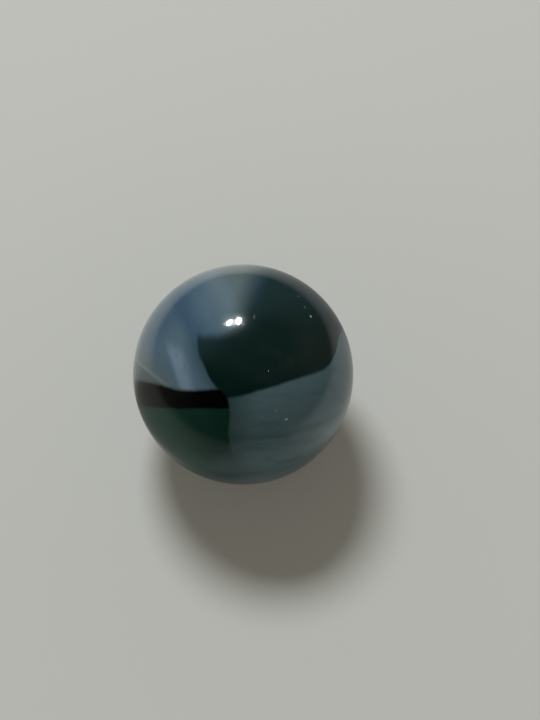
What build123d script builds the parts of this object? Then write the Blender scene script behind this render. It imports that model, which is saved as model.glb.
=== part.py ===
from build123d import *
import os

# Glass playing marble: one solid ball of glass, with no hole, flat, seam or coating.
#
# A ribbon of opal blue-grey glass and a darker bottle-green glass are folded together
# while soft and rolled into a ball. They fuse, so the two colours divide no solid and
# the ball comes out as one piece.
#
# Frame, in millimetres: the origin is the centre of the ball and +Z is up. The ball
# looks the same from every side, so X and Y only fix the turn of its colours: +X is
# to the right and +Y is away when the crossing of the ribbons faces the viewer.

# Driving dimension
BALL_DIAMETER = 16.0  # a standard player, 5/8 inch; shooters run to 25 and peewees to 12

PARTS_FOLDER = "parts"


def make_marble():
    """The whole ball, centred on the origin."""
    return Sphere(radius=BALL_DIAMETER / 2)


def write_part(name, shape):
    """Writes one sub-part as a STEP file that bears the node's name."""
    export_step(shape, os.path.join(PARTS_FOLDER, f"{name}.step"))


os.makedirs(PARTS_FOLDER, exist_ok=True)
write_part("marble", make_marble())
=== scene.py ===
import math

import bmesh
import bpy
from mathutils import Matrix, Quaternion, Vector


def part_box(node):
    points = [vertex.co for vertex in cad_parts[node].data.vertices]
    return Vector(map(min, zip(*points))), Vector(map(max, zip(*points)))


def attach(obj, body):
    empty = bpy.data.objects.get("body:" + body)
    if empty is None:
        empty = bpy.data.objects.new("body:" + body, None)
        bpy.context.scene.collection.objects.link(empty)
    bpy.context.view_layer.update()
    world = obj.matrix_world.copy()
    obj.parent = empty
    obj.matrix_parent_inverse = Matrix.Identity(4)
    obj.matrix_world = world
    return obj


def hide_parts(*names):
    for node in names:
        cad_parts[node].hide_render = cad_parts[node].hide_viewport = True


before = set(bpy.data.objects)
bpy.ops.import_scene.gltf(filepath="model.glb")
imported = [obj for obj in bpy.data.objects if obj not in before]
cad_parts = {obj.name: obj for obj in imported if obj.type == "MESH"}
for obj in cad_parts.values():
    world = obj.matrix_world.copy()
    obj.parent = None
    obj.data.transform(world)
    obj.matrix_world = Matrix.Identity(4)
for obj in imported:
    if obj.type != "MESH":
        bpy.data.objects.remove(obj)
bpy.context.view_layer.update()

bl_info = {
    "name": "Swirled glass marble",
    "version": (1, 0, 0),
    "blender": (4, 5, 0),
    "location": "3D View > Sidebar > Marble",
    "description": "Gives the packed glass ball its fused swirl and pits, and sets it on a plain floor",
    "category": "Object",
}

MILLIMETRE = 0.001
BALL_LOW, BALL_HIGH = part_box("marble")
BALL_RADIUS = (BALL_HIGH.z - BALL_LOW.z) / 2

# The crossing of the ribbons faces this far above the horizon, on the -Y side. Places on
# the ball are given in its radii, right and up of that crossing, and out towards it.
FACING_ELEVATION = math.radians(63.5)
FACING_TURN = FACING_ELEVATION - math.radians(90)
FROM_FACING = Matrix.Rotation(-FACING_TURN, 3, "X")
RIGHT = (1, 0, 0)
LEFT = (-1, 0, 0)
UP = (0, 1, 0)

# How the swirl is drawn out: the ribbons begin to wind this far out of the middle, in radii,
# they drift within this width at this pitch, and the wisps' pattern is turned by this angle.
TWIST_START = 0.2
DRIFT = 0.36 * MILLIMETRE
DRIFT_PITCH = 2.5 * MILLIMETRE
WISP_TURN = math.radians(-15)

# The skin: soda-lime glass, with long low waves, fire polish, scuffs, rough pits and a haze.
GLASS_IOR = 1.52
WAVE_PITCH = 3 * MILLIMETRE
WAVE_HEIGHT = 0.012 * MILLIMETRE
POLISH_ROUGHNESS = 0.04
SCUFF_ROUGHNESS = 0.08
PIT_ROUGHNESS = 0.6
HAZE = 0.24
HAZE_ROUGHNESS = 0.18

# Courses of the seams where one glass ends and the next begins: at each point first the place
# along the seam, then how far across it lies. None reaches further than this from the crossing.
COURSE_REACH = 2
MAIN_SEAM = ((-1.0, -0.07), (-0.73, -0.09), (-0.53, -0.125), (-0.31, -0.11), (-0.2, -0.135),
             (-0.08, -0.25), (0.06, -0.335), (0.21, -0.39), (0.37, -0.405), (1.0, -0.42))
POOL_FLOOR = ((-0.6, -0.28), (-0.13, -0.205), (0.14, -0.145), (0.48, -0.035), (0.73, 0.055),
              (0.81, 0.16), (0.87, 0.35), (1.0, 0.8))
POOL_SHOULDER = ((-0.42, 0.355), (-0.27, 0.33), (-0.15, 0.352), (-0.02, 0.4), (0.12, 0.6))
POOL_EDGE = ((0.3, -0.12), (0.47, -0.05), (0.62, 0.0), (0.76, 0.035), (0.89, 0.08), (1.0, 0.13))
STRIPE_TOP = ((-1.0, -0.045), (-0.82, -0.07), (-0.69, -0.1), (-0.54, -0.135), (-0.38, -0.14),
              (-0.2, -0.115))
STRIPE_FOOT = ((-1.0, -0.27), (-0.82, -0.295), (-0.54, -0.3), (-0.13, -0.3))
GREEN_FOOT = ((-0.8, -0.74), (-0.54, -0.77), (-0.33, -0.76), (-0.1, -0.68))
STREAK_EDGE = ((-0.3, -0.49), (-0.1, -0.56), (0.09, -0.62), (0.27, -0.68), (0.5, -0.75))
THREAD = ((-1.0, 0.17), (-0.95, 0.11), (-0.83, 0.005), (-0.7, -0.086), (-0.55, -0.17))
SLATE_BAND = ((-0.3, -0.6), (-0.1, -0.585), (0.25, -0.57), (0.45, -0.54), (0.7, -0.45))

# Pits left by knocks: how far right and up they lie, in radii, their width and length in
# millimetres, the length's turn from level in degrees, and how much crushed glass shows.
FACING_PITS = ((0.607, 0.522, 0.15, 0.26, 124, 0.7), (0.553, 0.603, 0.13, 0.2, 120, 0.2),
               (0.498, 0.703, 0.13, 0.2, 120, 0.16), (0.117, 0.24, 0.08, 0.1, 0, 0.02),
               (0.226, 0.04, 0.12, 0.2, 50, 0.03), (0.3, -0.313, 0.13, 0.34, 35, 0.14),
               (0.389, -0.395, 0.16, 0.27, 20, 0.7), (0.262, -0.794, 0.14, 0.36, 15, 0.16),
               (0.03, -0.72, 0.1, 0.16, 0, 0.08))

# How a pit is pressed: faces are halved this often, out to this many half lengths and two edges
# more. Its bowl is this deep for its width, and crushed glass is thickest below this share of it.
PIT_HALVINGS = 3
PIT_MARGIN = 1.5
PIT_DEPTH = 0.25
PIT_CRUSHED = 0.5

# Brightness of the board that the glass mirrors, by degrees round the ball from +X towards +Y.
CARD_SHADES = ((-180, 0.33), (-150, 0.36), (-120, 0.32), (-90, 0.2), (-62, 0.2), (-45, 0.55), (-26, 0.9),
               (-10, 0.76), (10, 0.74), (29, 0.66), (40, 0.42), (64, 0.45), (78, 0.65), (92, 1.0),
               (150, 1.0), (163, 0.8), (173, 0.38), (180, 0.33))

# The board lies this far above the floor. Under and close round the ball it has at least this
# share of the floor's colour, which ends at the first of the close distances from the ball's
# middle and is whole from the second inwards. The fade to black goes by the same two steps.
CARD_LIFT = 0.05 * MILLIMETRE
CARD_CLOSE = (13 * MILLIMETRE, 8 * MILLIMETRE)
CARD_CLOSE_SHARE = 0.6
CARD_FADE = (80 * MILLIMETRE, 30 * MILLIMETRE)

# The soft main lamp: where it stands from the ball, its width and height in metres, and the
# colour of window light.
LAMP_TOWARDS = (-0.19, 0.51, 0.84)
LAMP_SIZE = (0.19, 0.13)
WINDOW_COLOUR = (0.98, 1.0, 1.0)

# The room's pale walls, and the heights between which they end, from 0 level to 1 overhead: the
# sine of the angle upwards.
WALL_COLOUR = (0.83, 0.765, 0.645, 1)
WALL_FADE = (0.55, 0.7)

# The camera: focal length and sensor in millimetres, and how far right and up of the ball's
# middle it aims.
FOCAL_LENGTH = 190
SENSOR_WIDTH = 36
AIM = (1.95 * MILLIMETRE, 1.05 * MILLIMETRE, 0)

# Window panes that the glass mirrors, a guess that gives the glint: how far right and up their
# glint lies, in radii, the pane's width and height in metres, its lean in degrees, and its
# share of the brightness.
GLINTS = ((-0.115, 0.463, 0.04, 0.066, -55, 1.0), (-0.034, 0.477, 0.045, 0.076, -10, 1.0),
          (-0.075, 0.467, 0.045, 0.06, -30, 0.12), (-0.15, 0.452, 0.026, 0.034, -70, 0.08),
          (-0.078, 0.428, 0.05, 0.018, 0, 0.02), (0.009, 0.445, 0.014, 0.016, 0, 0.06),
          (0.104, 0.512, 0.01, 0.05, 15, 0.02))


def linear(hex_colour):
    """Linear colour with full alpha, from sRGB hex such as #3b5064."""
    channels = [int(hex_colour[start:start + 2], 16) / 255 for start in (1, 3, 5)]
    curved = [((c + 0.055) / 1.055) ** 2.4 if c > 0.04045 else c / 12.92 for c in channels]
    return (*curved, 1.0)


def colour_property(name, description, hex_colour):
    """One colour that a user can change."""
    return bpy.props.FloatVectorProperty(
        name=name, description=description, subtype="COLOR", size=4, min=0, max=1,
        default=linear(hex_colour))


class MarbleGlassSettings(bpy.types.PropertyGroup):
    """Sizes and colours of the glass."""

    facets: bpy.props.IntProperty(
        name="Facet steps",
        description="1 keeps the ball's twenty faces, and each step more halves their edges",
        default=7, min=4, max=7)
    twist: bpy.props.FloatProperty(
        name="Twist", description="How far the ribbons wind round on the side away from the crossing",
        default=math.radians(115), subtype="ANGLE", unit="ROTATION")
    opal: colour_property("Opal", "Opal glass at its usual strength", "#4b6171")
    opal_deep: colour_property("Deep opal", "Opal glass where it is bluest", "#3a5166")
    opal_pale: colour_property("Pale opal", "Opal glass where it is most milky", "#5a6c77")
    opal_grey: colour_property("Grey opal", "Opal glass where green shows through it", "#566568")
    opal_thin: colour_property("Thin opal", "Opal glass where it thins out towards the dark pool", "#344a56")
    streak: colour_property("Streak", "Milky streak in the opal glass", "#677d90")
    thread: colour_property("Thread", "Pale thread between the opal and the grey wedge", "#68787d")
    wedge: colour_property("Grey wedge", "Grey glass between the opal and the stripe", "#526063")
    slate: colour_property("Slate", "Opal glass over the green", "#495f68")
    slate_deep: colour_property("Deep slate", "The same where the green shows through more", "#2d4446")
    pool: colour_property("Dark pool", "Bottle green glass where it is deep", "#112220")
    pool_tip: colour_property("Pool tip", "The same at the narrow end of the pool", "#081c18")
    pool_edge: colour_property("Pool edge", "The same where it grows thinner", "#1a2928")
    pool_top: colour_property("Pool top", "The same under a little opal", "#1c2f33")
    pool_cloud: colour_property("Pool cloud", "Brownish cloud in the pool", "#212b28")
    green: colour_property("Bottle green", "Bottle green glass near the surface", "#142f29")
    green_deep: colour_property("Deep bottle green", "The same where it is deep", "#0c2923")
    green_pale: colour_property("Pale bottle green", "The same towards the limb", "#25433c")
    stripe: colour_property("Stripe", "Brown-black stripe", "#030404")
    stripe_end: colour_property("Stripe end", "The same where it runs out thin", "#191b1a")
    bruise: colour_property("Bruise", "Crushed glass in a pit", "#b9c0bd")


class MarbleStageSettings(bpy.types.PropertyGroup):
    """Floor, lamps and camera."""

    floor_colour: colour_property("Floor", "Plain pale floor", "#bdbfbd")
    floor_width: bpy.props.FloatProperty(
        name="Floor width", description="Side of the square floor", default=3.0,
        subtype="DISTANCE", unit="LENGTH")
    lamp_distance: bpy.props.FloatProperty(
        name="Lamp distance", description="From the ball's centre to the lamps", default=0.5,
        subtype="DISTANCE", unit="LENGTH")
    lamp_power: bpy.props.FloatProperty(
        name="Lamp power", description="Power of the soft main lamp", default=1.94, min=0, unit="POWER")
    glint_brightness: bpy.props.FloatProperty(
        name="Glint brightness", description="Brightness of the window panes that the glass mirrors",
        default=80, min=0)
    camera_distance: bpy.props.FloatProperty(
        name="Camera distance", description="From the ball's centre to the camera", default=0.276,
        subtype="DISTANCE", unit="LENGTH")


def add_node(tree, kind, settings=None, links=None):
    """Adds a node with its settings. links gives its inputs a number, a colour or another node's output."""
    node = tree.nodes.new(kind)
    for name, value in (settings or {}).items():
        setattr(node, name, value)
    for name, value in (links or {}).items():
        if isinstance(value, bpy.types.NodeSocket):
            tree.links.new(value, node.inputs[name])
        else:
            node.inputs[name].default_value = value
    return node


# Sockets of a Mix node that mixes colours.
MIX_SHARE, MIX_UNDER, MIX_OVER, MIX_RESULT = 0, 6, 7, 2


def past_course(tree, across, along, course, softness):
    """1 where across lies past a seam's course, 0 before it, and in between over its softness, in
    radii. A negative softness turns the sides round."""
    seam = add_node(tree, "ShaderNodeFloatCurve", links={"Value": along})
    mapping = seam.mapping
    mapping.clip_min_x = -COURSE_REACH
    mapping.clip_min_y = -COURSE_REACH
    mapping.clip_max_x = COURSE_REACH
    mapping.clip_max_y = COURSE_REACH
    curve = mapping.curves[0]
    curve.points[0].location = course[0]
    curve.points[1].location = course[-1]
    for point in course[1:-1]:
        curve.points.new(*point)
    mapping.update()
    gap = add_node(tree, "ShaderNodeMath", {"operation": "SUBTRACT"}, {0: across, 1: seam.outputs["Value"]})
    side = add_node(tree, "ShaderNodeMapRange", {"interpolation_type": "SMOOTHSTEP"},
                    {"Value": gap.outputs[0], "From Min": -softness, "From Max": softness})
    return side.outputs["Result"]


def shifted(course, distance):
    """The same course, moved across."""
    return tuple((along, across + distance) for along, across in course)


def past_line(tree, place, direction, start, finish):
    """0 at the start and 1 at the finish, both measured in radii along a direction."""
    reach = add_node(tree, "ShaderNodeVectorMath", {"operation": "DOT_PRODUCT"}, {0: place, 1: direction})
    side = add_node(tree, "ShaderNodeMapRange", {"interpolation_type": "SMOOTHSTEP"},
                    {"Value": reach.outputs["Value"], "From Min": start, "From Max": finish})
    return side.outputs["Result"]


def fill_ramp(row, shades):
    """Gives a colour ramp its shades, each a position and a colour, in order."""
    ramp = row.color_ramp
    ramp.elements[0].position, ramp.elements[0].color = shades[0]
    ramp.elements[1].position, ramp.elements[1].color = shades[-1]
    for position, colour in shades[1:-1]:
        ramp.elements.new(position).color = colour


def shade_along(tree, place, direction, start, finish, shades):
    """Colours that change along a direction, from the start to the finish."""
    reach = add_node(tree, "ShaderNodeVectorMath", {"operation": "DOT_PRODUCT"}, {0: place, 1: direction})
    share = add_node(tree, "ShaderNodeMapRange", links={
        "Value": reach.outputs["Value"], "From Min": start, "From Max": finish})
    row = add_node(tree, "ShaderNodeValToRGB", links={"Fac": share.outputs["Result"]})
    row.color_ramp.interpolation = "EASE"
    fill_ramp(row, shades)
    return row.outputs["Color"]


def wisps(tree, place, pitch, low, high, most):
    """Fine wisps of one glass drawn out in another, as a share from 0 to most. pitch is how far
    apart they lie going right, up and outwards, in millimetres."""
    repeats = tuple(BALL_RADIUS / (length * MILLIMETRE) for length in pitch)
    drawn = add_node(tree, "ShaderNodeMapping", {"vector_type": "POINT"},
                     {"Vector": place, "Rotation": (0, 0, WISP_TURN), "Scale": repeats})
    grain = add_node(tree, "ShaderNodeTexNoise", links={
        "Vector": drawn.outputs["Vector"], "Scale": 1.0, "Detail": 4.0, "Roughness": 0.6})
    share = add_node(tree, "ShaderNodeMapRange", {"interpolation_type": "SMOOTHSTEP"},
                     {"Value": grain.outputs["Fac"], "From Min": low, "From Max": high, "To Max": most})
    return share.outputs["Result"]


def stack(tree, bottom, layers):
    """Lays glasses over the bottom one. Each layer is its colour, then the shares that limit it."""
    for colour, share, *limits in layers:
        for limit in limits:
            product = add_node(tree, "ShaderNodeMath", {"operation": "MULTIPLY"}, {0: share, 1: limit})
            share = product.outputs[0]
        mix = add_node(tree, "ShaderNodeMix", {"data_type": "RGBA"},
                       {MIX_SHARE: share, MIX_UNDER: bottom, MIX_OVER: colour})
        bottom = mix.outputs[MIX_RESULT]
    return bottom


def swirl_place(tree, look):
    """Where a point lies in the swirl, in radii: right, up and out of the crossing. Behind the
    crossing the ribbons wind round, and everywhere they drift a little."""
    place = add_node(tree, "ShaderNodeTexCoord")
    facing = add_node(tree, "ShaderNodeMapping", {"vector_type": "POINT"},
                      {"Vector": place.outputs["Object"], "Rotation": (FACING_TURN, 0, 0),
                       "Scale": (1 / BALL_RADIUS,) * 3})
    depth = add_node(tree, "ShaderNodeSeparateXYZ", links={"Vector": facing.outputs["Vector"]})
    turn = add_node(tree, "ShaderNodeMapRange", {"interpolation_type": "SMOOTHSTEP"},
                    {"Value": depth.outputs["Z"], "From Min": TWIST_START, "From Max": -1.0,
                     "To Min": 0.0, "To Max": look.twist})
    wound = add_node(tree, "ShaderNodeVectorRotate", {"rotation_type": "Z_AXIS"},
                     {"Vector": facing.outputs["Vector"], "Angle": turn.outputs["Result"]})
    drift = add_node(tree, "ShaderNodeTexNoise", links={
        "Vector": wound.outputs["Vector"], "Scale": BALL_RADIUS / DRIFT_PITCH, "Detail": 6.0,
        "Roughness": 0.7})
    drift_amount = DRIFT / BALL_RADIUS
    drifted = add_node(tree, "ShaderNodeVectorMath", {"operation": "MULTIPLY_ADD"},
                       {0: drift.outputs["Color"], 1: (drift_amount,) * 3, 2: wound.outputs["Vector"]})
    centred = add_node(tree, "ShaderNodeVectorMath", {"operation": "SUBTRACT"},
                       {0: drifted.outputs["Vector"], 1: (drift_amount / 2,) * 3})
    return centred.outputs["Vector"]


def opal_glass(tree, look, place, right, up):
    """Milky blue: deepest in a band by the upper left limb, green-grey at the top and low down."""
    blue = shade_along(tree, place, (0.85, 0.5, 0), -0.6, 0.4, (
        (0.1, look.opal), (0.3, look.opal), (0.42, look.opal_deep), (0.63, look.opal), (0.82, look.opal_pale),
        (0.97, look.opal_grey)))
    bluest = (-0.5, 0.87, 0)
    lower_left = (-0.75, -0.66, 0)
    near_seam = shifted(MAIN_SEAM, -0.06)
    return stack(tree, blue, (
        (look.opal_deep, past_line(tree, place, bluest, 0.58, 0.74),
         past_line(tree, place, LEFT, 0.3, 0.6), 0.55),
        (look.opal_pale, wisps(tree, place, (1.3, 2.7, 2.7), 0.45, 0.8, 0.3)),
        (look.opal_grey, past_line(tree, place, lower_left, 0.4, 0.65)),
        (look.opal_thin, past_course(tree, right, up, near_seam, 0.1),
         past_line(tree, place, UP, 0.42, 0.25)),
        (look.streak, past_course(tree, right, up, STREAK_EDGE, 0.03),
         past_course(tree, right, up, shifted(STREAK_EDGE, 0.12), -0.055),
         past_line(tree, place, UP, 0.34, 0.16), wisps(tree, place, (0.5, 1.0, 1.0), 0.15, 0.55, 1.0)),
        (look.thread, past_course(tree, up, right, THREAD, 0.012),
         past_course(tree, up, right, shifted(THREAD, 0.03), -0.035),
         past_line(tree, place, LEFT, 0.62, 0.74)),
        (look.wedge, past_course(tree, up, right, THREAD, -0.012), past_line(tree, place, LEFT, 0.6, 0.72))))


def pool_glass(tree, look, place, right, up):
    """Bottle green too deep to see through: near black, a little lighter up and to the right."""
    dark = shade_along(tree, place, (0.35, 0.94, 0), -0.2, 1.0, (
        (0.05, look.pool_tip), (0.25, look.pool), (0.58, look.pool), (0.74, look.pool_edge),
        (0.87, look.pool_top)))
    beside_opal = shifted(POOL_EDGE, 0.13)
    right_side = (0.95, 0.3, 0)
    upper_left = (-0.6, 0.8, 0)
    return stack(tree, dark, (
        (look.pool_cloud, wisps(tree, place, (2.7, 2.0, 2.7), 0.5, 0.7, 0.5)),
        (look.pool_cloud, past_line(tree, place, right_side, 0.42, 0.66),
         past_line(tree, place, UP, 0.5, 0.28), 0.6),
        (look.pool_top, past_line(tree, place, upper_left, 0.2, 0.5)),
        (look.pool_top, past_course(tree, right, up, beside_opal, -0.07),
         past_line(tree, place, UP, 0.45, 0.7)),
        (look.opal_thin, past_course(tree, right, up, beside_opal, -0.06),
         past_line(tree, place, UP, 0.55, 0.85), 0.5)))


def slate_glass(tree, look, place, right, up):
    """Thin opal over bottle green: grey, with wisps drawn out along it."""
    downwards = (0.3, -0.95, 0)
    grey = shade_along(tree, place, RIGHT, -0.2, 0.35, (
        (0.1, look.slate_deep), (0.7, look.slate), (1.0, look.slate)))
    return stack(tree, grey, (
        (look.opal_grey, past_line(tree, place, downwards, 0.3, 1.0), 0.3),
        (look.opal_grey, wisps(tree, place, (3.6, 0.73, 2.7), 0.45, 0.8, 0.35)),
        (look.slate_deep, wisps(tree, place, (4.0, 0.9, 2.7), 0.5, 0.25, 0.4)),
        (look.slate_deep, past_course(tree, up, right, SLATE_BAND, 0.03),
         past_course(tree, up, right, shifted(SLATE_BAND, 0.05), -0.03), 0.45)))


def stripe_glass(tree, look, place):
    """Brown-black, paler where it runs out at the left limb."""
    return shade_along(tree, place, RIGHT, -0.95, -0.3, ((0.0, look.stripe_end), (1.0, look.stripe)))


def green_glass(tree, look, place):
    """Bottle green near the skin, paler down towards the left limb."""
    return shade_along(tree, place, (-0.8, -0.6, 0), 0.3, 1.0, (
        (0.05, look.green_deep), (0.36, look.green), (0.8, look.green_pale)))


def make_swirl_glass(look):
    """Fused soda-lime glass, rolled hot into a ball and fire polished: a wet, mirror-smooth skin over
    soft-edged ribbons, milky blue where the glass is opal and near black where bottle green lies deep.
    Years of play give the skin a faint haze, waves and scuffs, and crushed white specks in its pits."""
    material = bpy.data.materials.new("fused_soda_lime_swirl_glass")
    material.use_nodes = True
    tree = material.node_tree
    shader = tree.nodes["Principled BSDF"]
    place = swirl_place(tree, look)
    axes = add_node(tree, "ShaderNodeSeparateXYZ", links={"Vector": place})
    right = axes.outputs["X"]
    up = axes.outputs["Y"]

    opal = opal_glass(tree, look, place, right, up)
    slate = slate_glass(tree, look, place, right, up)
    stripe = stripe_glass(tree, look, place)
    green = green_glass(tree, look, place)
    pool = pool_glass(tree, look, place, right, up)
    left_half = stack(tree, opal, (
        (stripe, past_course(tree, up, right, STRIPE_TOP, -0.022)),
        (green, past_course(tree, up, right, STRIPE_FOOT, -0.016)),
        (slate, past_course(tree, up, right, GREEN_FOOT, -0.1),
         past_line(tree, place, RIGHT, -0.6, -0.1))))
    right_half = stack(tree, pool, (
        (opal, past_course(tree, up, right, POOL_SHOULDER, 0.055),
         past_course(tree, right, up, POOL_EDGE, -0.13)),
        (slate, past_course(tree, up, right, POOL_FLOOR, -0.02))))
    pit = add_node(tree, "ShaderNodeAttribute", {"attribute_name": "pit"})
    body = stack(tree, left_half, (
        (right_half, past_course(tree, right, up, MAIN_SEAM, 0.018)),
        (look.bruise, pit.outputs["Fac"])))
    tree.links.new(body, shader.inputs["Base Color"])

    scuffs = wisps(tree, place, (0.9, 0.57, 0.73), 0.45, 0.8, SCUFF_ROUGHNESS)
    polish = add_node(tree, "ShaderNodeMath", {"operation": "ADD"}, {0: scuffs, 1: POLISH_ROUGHNESS})
    roughness = add_node(tree, "ShaderNodeMath", {"operation": "MULTIPLY_ADD"},
                         {0: pit.outputs["Fac"], 1: PIT_ROUGHNESS, 2: polish.outputs[0]})
    tree.links.new(roughness.outputs[0], shader.inputs["Roughness"])

    wave = add_node(tree, "ShaderNodeTexNoise", links={
        "Vector": place, "Scale": BALL_RADIUS / WAVE_PITCH, "Detail": 2.0})
    skin = add_node(tree, "ShaderNodeBump", links={"Height": wave.outputs["Fac"], "Distance": WAVE_HEIGHT})
    tree.links.new(skin.outputs["Normal"], shader.inputs["Normal"])

    shader.inputs["IOR"].default_value = GLASS_IOR
    shader.inputs["Coat Weight"].default_value = HAZE
    shader.inputs["Coat Roughness"].default_value = HAZE_ROUGHNESS
    return material


def facing_place(right, up):
    """Direction from the ball's centre to a place given right and up of the crossing."""
    out = math.sqrt(1 - right**2 - up**2)
    return FROM_FACING @ Vector((right, up, out))


def press_pits(ball, pits, side):
    """Halves the faces round each pit until there are enough for its bowl, then sinks it. side is 1
    for the half that faces the viewer, and -1 for pits straight through the ball from there."""
    pit_layer = ball.verts.layers.float.get("pit") or ball.verts.layers.float.new("pit")
    for right, up, width, length, turn, bruise in pits:
        outwards = facing_place(right, up) * side
        middle = outwards * BALL_RADIUS
        level = FROM_FACING @ Vector(RIGHT)
        level = (level - level.dot(outwards) * outwards).normalized()
        along = Matrix.Rotation(math.radians(turn), 3, outwards) @ level
        across = outwards.cross(along)
        reach = length * MILLIMETRE / 2
        for step in range(PIT_HALVINGS):
            near = [edge for edge in ball.edges
                    if (edge.verts[0].co - middle).length < reach * PIT_MARGIN + 2 * edge.calc_length()]
            bmesh.ops.subdivide_edges(ball, edges=near, cuts=1, use_grid_fill=True)
        for vertex in ball.verts:
            away = vertex.co - middle
            if away.length < reach * 2 * PIT_MARGIN:
                vertex.co = vertex.co.normalized() * BALL_RADIUS
                stretch = Vector((away.dot(along) / length, away.dot(across) / width)).length * 2 / MILLIMETRE
                share = max(0.0, 1 - stretch**2)
                vertex.co *= 1 - share * width * MILLIMETRE * PIT_DEPTH / BALL_RADIUS
                vertex[pit_layer] = bruise * min(1.0, share / PIT_CRUSHED)


class MARBLE_OT_build_ball(bpy.types.Operator):
    """Build the glass ball with its swirl and pits"""

    bl_idname = "marble.build_ball"
    bl_label = "Build Ball"

    def execute(self, context):
        look = context.scene.marble_glass
        ball = bmesh.new()
        bmesh.ops.create_icosphere(ball, subdivisions=look.facets, radius=BALL_RADIUS)
        press_pits(ball, FACING_PITS, 1)
        press_pits(ball, FACING_PITS, -1)
        bmesh.ops.triangulate(ball, faces=ball.faces)
        mesh = bpy.data.meshes.new("marble_glass")
        ball.to_mesh(mesh)
        ball.free()
        mesh.shade_smooth()
        piece = bpy.data.objects.new("marble_glass", mesh)
        context.scene.collection.objects.link(piece)
        mesh.materials.append(make_swirl_glass(look))
        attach(piece, "root")
        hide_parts("marble")
        return {"FINISHED"}


def level_board(name, width, height, material):
    """A square board lying level."""
    board = bmesh.new()
    bmesh.ops.create_grid(board, x_segments=1, y_segments=1, size=width / 2)
    bmesh.ops.translate(board, verts=board.verts, vec=(0, 0, height))
    mesh = bpy.data.meshes.new(name)
    board.to_mesh(mesh)
    board.free()
    mesh.materials.append(material)
    return bpy.data.objects.new(name, mesh)


def matt_board(name):
    """Uncoated pale board: plain and quite matt."""
    material = bpy.data.materials.new(name)
    material.use_nodes = True
    shader = material.node_tree.nodes["Principled BSDF"]
    shader.inputs["Roughness"].default_value = 0.95
    shader.inputs["Specular IOR Level"].default_value = 0.1
    return material, shader


def add_floor(context, stage):
    """The plain floor that the ball stands on."""
    material, shader = matt_board("uncoated_pale_board")
    shader.inputs["Base Color"].default_value = stage.floor_colour
    floor = level_board("floor", stage.floor_width, BALL_LOW.z, material)
    context.scene.collection.objects.link(floor)


def add_reflection_card(context, stage):
    """Board just over the floor that only the glass mirrors. It has the floor's colour where it is
    brightest. It is darker in some directions, and black far off."""
    material, shader = matt_board("graded_reflection_board")
    tree = material.node_tree
    place = add_node(tree, "ShaderNodeTexCoord")
    round_about = add_node(tree, "ShaderNodeTexGradient", {"gradient_type": "RADIAL"},
                           {"Vector": place.outputs["Object"]})
    row = add_node(tree, "ShaderNodeValToRGB", links={"Fac": round_about.outputs["Fac"]})
    fill_ramp(row, [((degrees + 180) / 360, (brightness, brightness, brightness, 1))
                    for degrees, brightness in CARD_SHADES])
    level = add_node(tree, "ShaderNodeVectorMath", {"operation": "MULTIPLY"},
                     {0: place.outputs["Object"], 1: (1, 1, 0)})
    away = add_node(tree, "ShaderNodeVectorMath", {"operation": "LENGTH"}, {0: level.outputs["Vector"]})
    close = add_node(tree, "ShaderNodeMapRange", {"interpolation_type": "SMOOTHSTEP"},
                     {"Value": away.outputs["Value"], "From Min": CARD_CLOSE[0], "From Max": CARD_CLOSE[1],
                      "To Max": CARD_CLOSE_SHARE})
    near = add_node(tree, "ShaderNodeMapRange", {"interpolation_type": "SMOOTHSTEP"},
                    {"Value": away.outputs["Value"], "From Min": CARD_FADE[0], "From Max": CARD_FADE[1]})
    share = add_node(tree, "ShaderNodeMath", {"operation": "MAXIMUM"},
                     {0: row.outputs["Color"], 1: close.outputs["Result"]})
    colour = stack(tree, linear("#000000"), ((stage.floor_colour, share.outputs[0], near.outputs["Result"]),))
    tree.links.new(colour, shader.inputs["Base Color"])
    card = level_board("reflection_card", stage.floor_width, BALL_LOW.z + CARD_LIFT, material)
    card.visible_camera = False
    card.visible_diffuse = False
    card.visible_shadow = False
    card.visible_transmission = False
    card.visible_volume_scatter = False
    context.scene.collection.objects.link(card)


def add_lamp(context, name, location, target, size, turn=0):
    """A soft lamp facing its target."""
    lamp = bpy.data.lights.new(name, "AREA")
    lamp.shape = "ELLIPSE"
    lamp.size, lamp.size_y = size
    lamp.color = WINDOW_COLOUR
    holder = bpy.data.objects.new(name, lamp)
    holder.location = location
    holder.rotation_mode = "QUATERNION"
    holder.rotation_quaternion = (target - location).to_track_quat("-Z", "Y") @ Quaternion((0, 0, 1), turn)
    context.scene.collection.objects.link(holder)
    return holder


def add_lamps(context, stage, viewpoint):
    """The soft main lamp, and the window panes that the glass mirrors as glints."""
    towards = Vector(LAMP_TOWARDS).normalized()
    main = add_lamp(context, "main_lamp", towards * stage.lamp_distance, Vector((0, 0, 0)), LAMP_SIZE)
    main.data.energy = stage.lamp_power
    main.visible_glossy = False
    for number, (right, up, width, height, lean, share) in enumerate(GLINTS):
        outwards = facing_place(right, up)
        spot = outwards * BALL_RADIUS
        seen_from = (viewpoint - spot).normalized()
        mirrored = 2 * seen_from.dot(outwards) * outwards - seen_from
        pane = add_lamp(context, f"window_pane_{number}", spot + mirrored * stage.lamp_distance, spot,
                        (width, height), math.radians(lean))
        area = math.pi / 4 * width * height
        pane.data.energy = share * stage.glint_brightness * math.pi * area
        pane.visible_diffuse = False


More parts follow.
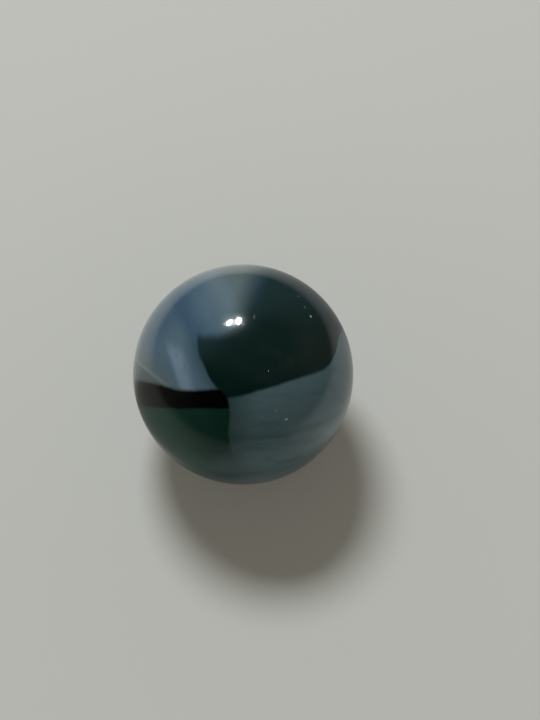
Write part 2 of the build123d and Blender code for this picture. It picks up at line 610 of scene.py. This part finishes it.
def add_room(context):
    """Pale walls up to head height and a dark ceiling: the soft warm light that fills the shadow."""
    world = bpy.data.worlds.new("room")
    world.use_nodes = True
    tree = world.node_tree
    background = tree.nodes["Background"]
    place = add_node(tree, "ShaderNodeTexCoord")
    height = add_node(tree, "ShaderNodeSeparateXYZ", links={"Vector": place.outputs["Generated"]})
    walls = add_node(tree, "ShaderNodeValToRGB", links={"Fac": height.outputs["Z"]})
    fill_ramp(walls, ((WALL_FADE[0], WALL_COLOUR), (WALL_FADE[1], linear("#000000"))))
    tree.links.new(walls.outputs["Color"], background.inputs["Color"])
    world.cycles_visibility.glossy = False
    context.scene.world = world


def add_camera(context, stage):
    """Looks down on the crossing of the ribbons, and returns where from."""
    camera = bpy.data.cameras.new("camera")
    camera.lens = FOCAL_LENGTH
    camera.sensor_width = SENSOR_WIDTH
    holder = bpy.data.objects.new("camera", camera)
    towards = FROM_FACING @ Vector((0, 0, 1))
    aim = FROM_FACING @ Vector(AIM)
    viewpoint = aim + towards * stage.camera_distance
    holder.location = viewpoint
    holder.rotation_mode = "QUATERNION"
    holder.rotation_quaternion = (-towards).to_track_quat("-Z", "Y")
    context.scene.collection.objects.link(holder)
    context.scene.camera = holder
    return viewpoint


class MARBLE_OT_build_stage(bpy.types.Operator):
    """Build the plain floor, the window light, the room and the camera"""

    bl_idname = "marble.build_stage"
    bl_label = "Build Stage"

    def execute(self, context):
        stage = context.scene.marble_stage
        add_floor(context, stage)
        add_reflection_card(context, stage)
        add_room(context)
        viewpoint = add_camera(context, stage)
        add_lamps(context, stage, viewpoint)
        context.scene.view_settings.view_transform = "Standard"
        return {"FINISHED"}


class MARBLE_PT_panel(bpy.types.Panel):
    """Lists the marble's sizes and colours, and what builds it"""

    bl_label = "Marble"
    bl_idname = "MARBLE_PT_panel"
    bl_space_type = "VIEW_3D"
    bl_region_type = "UI"
    bl_category = "Marble"

    def draw(self, context):
        for operator, settings in (("marble.build_ball", context.scene.marble_glass),
                                   ("marble.build_stage", context.scene.marble_stage)):
            box = self.layout.box()
            for name in settings.__annotations__:
                box.prop(settings, name)
            box.operator(operator)


CLASSES = (MarbleGlassSettings, MarbleStageSettings, MARBLE_OT_build_ball, MARBLE_OT_build_stage,
           MARBLE_PT_panel)


def register():
    for item in CLASSES:
        bpy.utils.register_class(item)
    bpy.types.Scene.marble_glass = bpy.props.PointerProperty(type=MarbleGlassSettings)
    bpy.types.Scene.marble_stage = bpy.props.PointerProperty(type=MarbleStageSettings)


def unregister():
    del bpy.types.Scene.marble_stage
    del bpy.types.Scene.marble_glass
    for item in reversed(CLASSES):
        bpy.utils.unregister_class(item)


def main():
    """Builds the ball and its stage."""
    register()
    bpy.ops.marble.build_ball()
    bpy.ops.marble.build_stage()
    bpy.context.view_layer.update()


if __name__ == "__main__":
    main()
